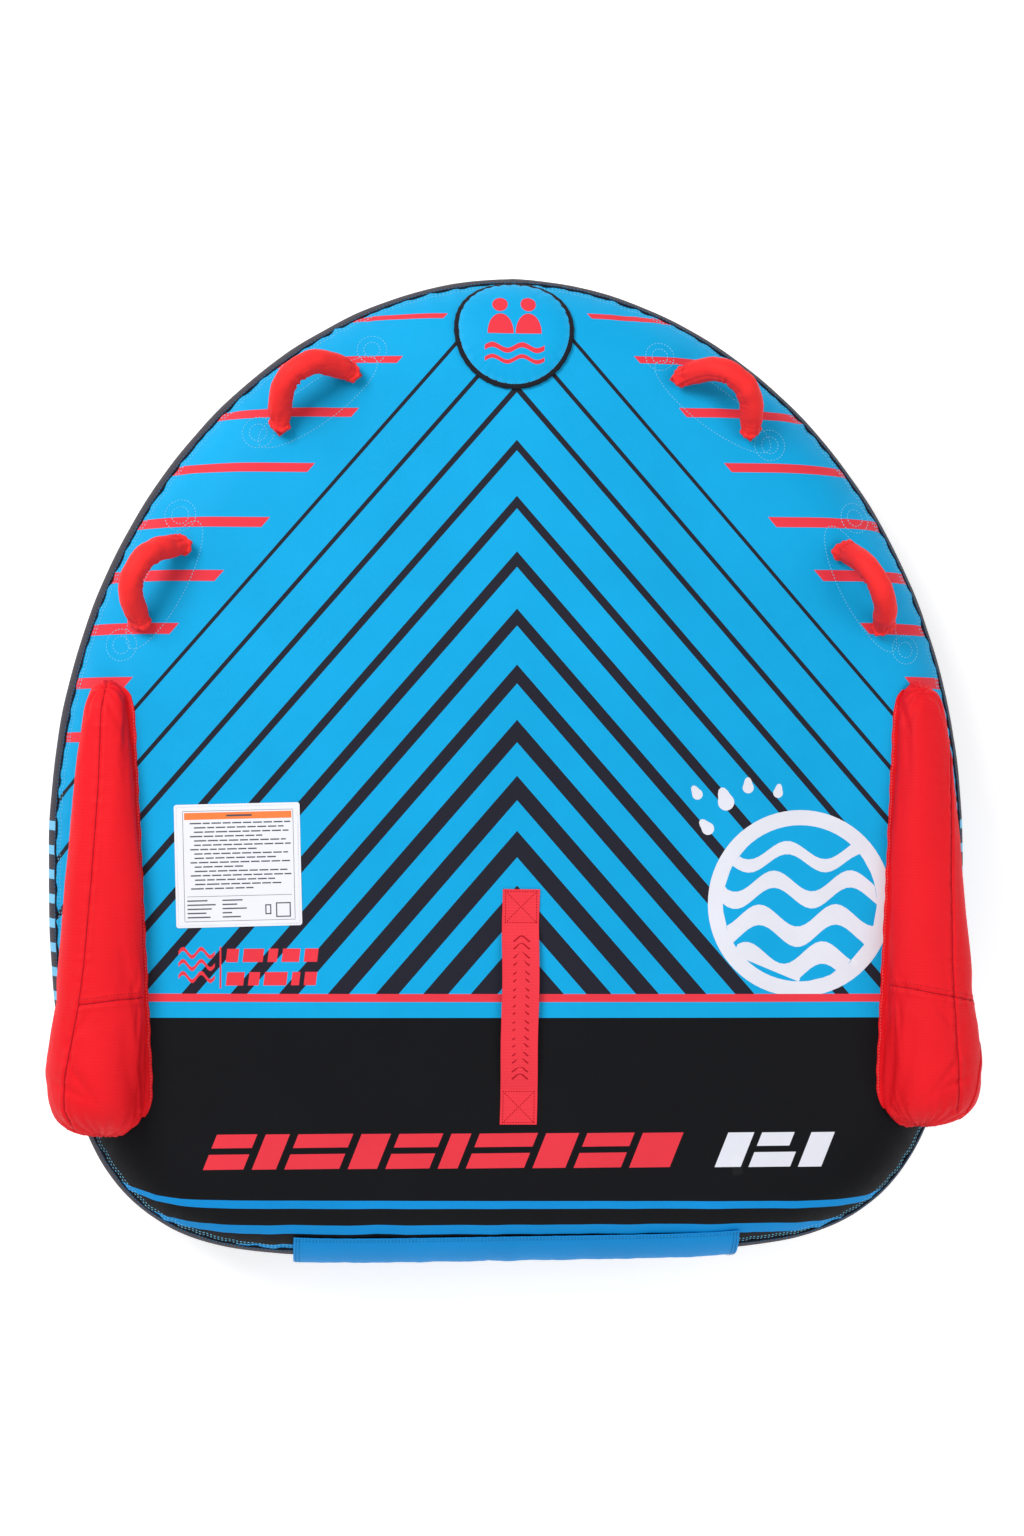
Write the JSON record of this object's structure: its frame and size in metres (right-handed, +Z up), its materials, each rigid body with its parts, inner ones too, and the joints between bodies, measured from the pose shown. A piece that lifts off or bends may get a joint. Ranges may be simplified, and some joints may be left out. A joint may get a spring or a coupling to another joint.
{
  "type": "towable tube",
  "caption": "Flat-decked inflatable towable tube with a fabric cover, side bolsters, padded grab handles, a boarding strap, a covered valve, a covered zip and a nose tow point.",
  "frame": {"origin": "centre of the bounding box in plan, at the underside that rests on the ground", "axes": "+Z up out of the deck, +Y towards the nose that is towed, +X to the right seen from above"},
  "size_m": [1.433, 1.5443, 0.3422],
  "materials": {
    "deck_nylon": "coated woven nylon, satin",
    "dark_nylon": "coated woven nylon, satin",
    "red_nylon": "coated woven nylon, satin",
    "red_webbing": "woven webbing, matte",
    "dark_webbing": "woven webbing, matte",
    "vinyl": "welded vinyl film, glossy",
    "foam": "closed-cell foam, matte",
    "label_film": "printed film, satin",
    "black_plastic": "moulded plastic, satin",
    "aluminium": "satin"
  },
  "bodies": {
    "tube": {"top_cover": "deck_nylon", "bottom_cover": "dark_nylon", "side_panel": "dark_nylon", "upper_seam_binding": "dark_webbing", "lower_seam_binding": "dark_webbing", "bladder": "vinyl", "bladder_baffle_1": "vinyl", "bladder_baffle_2": "vinyl", "bladder_baffle_3": "vinyl", "valve_base": "black_plastic", "label_patch": "label_film", "boarding_strap": "red_webbing", "left_bolster_cover": "red_nylon", "left_bolster_tail_cap": "red_nylon", "left_bolster_core": "foam", "left_bolster_hem": "red_nylon", "right_bolster_cover": "red_nylon", "right_bolster_tail_cap": "red_nylon", "right_bolster_core": "foam", "right_bolster_hem": "red_nylon", "front_left_handle_tab_front": "red_webbing", "front_left_handle_tab_back": "red_webbing", "front_left_handle_anchor": "dark_webbing", "front_right_handle_tab_front": "red_webbing", "front_right_handle_tab_back": "red_webbing", "front_right_handle_anchor": "dark_webbing", "rear_left_handle_tab_front": "red_webbing", "rear_left_handle_tab_back": "red_webbing", "rear_left_handle_anchor": "dark_webbing", "rear_right_handle_tab_front": "red_webbing", "rear_right_handle_tab_back": "red_webbing", "rear_right_handle_anchor": "dark_webbing", "zipper_tape": "dark_webbing", "zipper_coil": "black_plastic", "tow_patch": "dark_webbing", "tow_webbing": "dark_webbing", "tow_hook": "aluminium", "tow_rivet_1": "aluminium", "tow_rivet_2": "aluminium"},
    "front_left_handle": {"front_left_handle_sleeve": "red_nylon", "front_left_handle_foam": "foam", "front_left_handle_webbing": "red_webbing"},
    "front_right_handle": {"front_right_handle_sleeve": "red_nylon", "front_right_handle_foam": "foam", "front_right_handle_webbing": "red_webbing"},
    "rear_left_handle": {"rear_left_handle_sleeve": "red_nylon", "rear_left_handle_foam": "foam", "rear_left_handle_webbing": "red_webbing"},
    "rear_right_handle": {"rear_right_handle_sleeve": "red_nylon", "rear_right_handle_foam": "foam", "rear_right_handle_webbing": "red_webbing"},
    "valve_flap": {"valve_flap": "deck_nylon", "valve_flap_binding": "dark_webbing"},
    "valve_cap": {"valve_cap": "black_plastic"},
    "zipper_flap": {"zipper_flap": "deck_nylon"},
    "zipper_slider": {"zipper_slider": "aluminium", "zipper_pull": "red_webbing"}
  },
  "joints": [
    {"name": "front_left_handle_swing", "type": "hinge", "parent": "tube", "child": "front_left_handle", "pos_m": [-0.299, 0.549, 0.25238], "axis": [-0.8017, -0.5977, 0.0013], "range_deg": [-90, 10]},
    {"name": "front_right_handle_swing", "type": "hinge", "parent": "tube", "child": "front_right_handle", "pos_m": [0.299, 0.549, 0.25238], "axis": [-0.8017, 0.5977, -0.0013], "range_deg": [-84, 16]},
    {"name": "rear_left_handle_swing", "type": "hinge", "parent": "tube", "child": "rear_left_handle", "pos_m": [-0.5275, 0.2735, 0.25151], "axis": [-0.4679, -0.8838, -0.0092], "range_deg": [-81, 19]},
    {"name": "rear_right_handle_swing", "type": "hinge", "parent": "tube", "child": "rear_right_handle", "pos_m": [0.5275, 0.2735, 0.25151], "axis": [-0.4679, 0.8838, 0.0092], "range_deg": [-55, 45]},
    {"name": "valve_flap_lift", "type": "hinge", "parent": "tube", "child": "valve_flap", "pos_m": [0, 0.571, 0.2535], "axis": [1, 0, 0], "range_deg": [0, 110]},
    {"name": "valve_cap_turn", "type": "hinge", "parent": "tube", "child": "valve_cap", "pos_m": [0, 0.61, 0.25], "axis": [0, 0, 1], "range_deg": [0, 540]},
    {"name": "zipper_flap_lift", "type": "hinge", "parent": "tube", "child": "zipper_flap", "pos_m": [0, -0.70725, 0.2235], "axis": [-1, 0, 0], "range_deg": [0, 80]},
    {"name": "zipper_slide", "type": "slide", "parent": "tube", "child": "zipper_slider", "axis": [1, 0, 0], "range_m": [0, 0.472]}
  ]
}
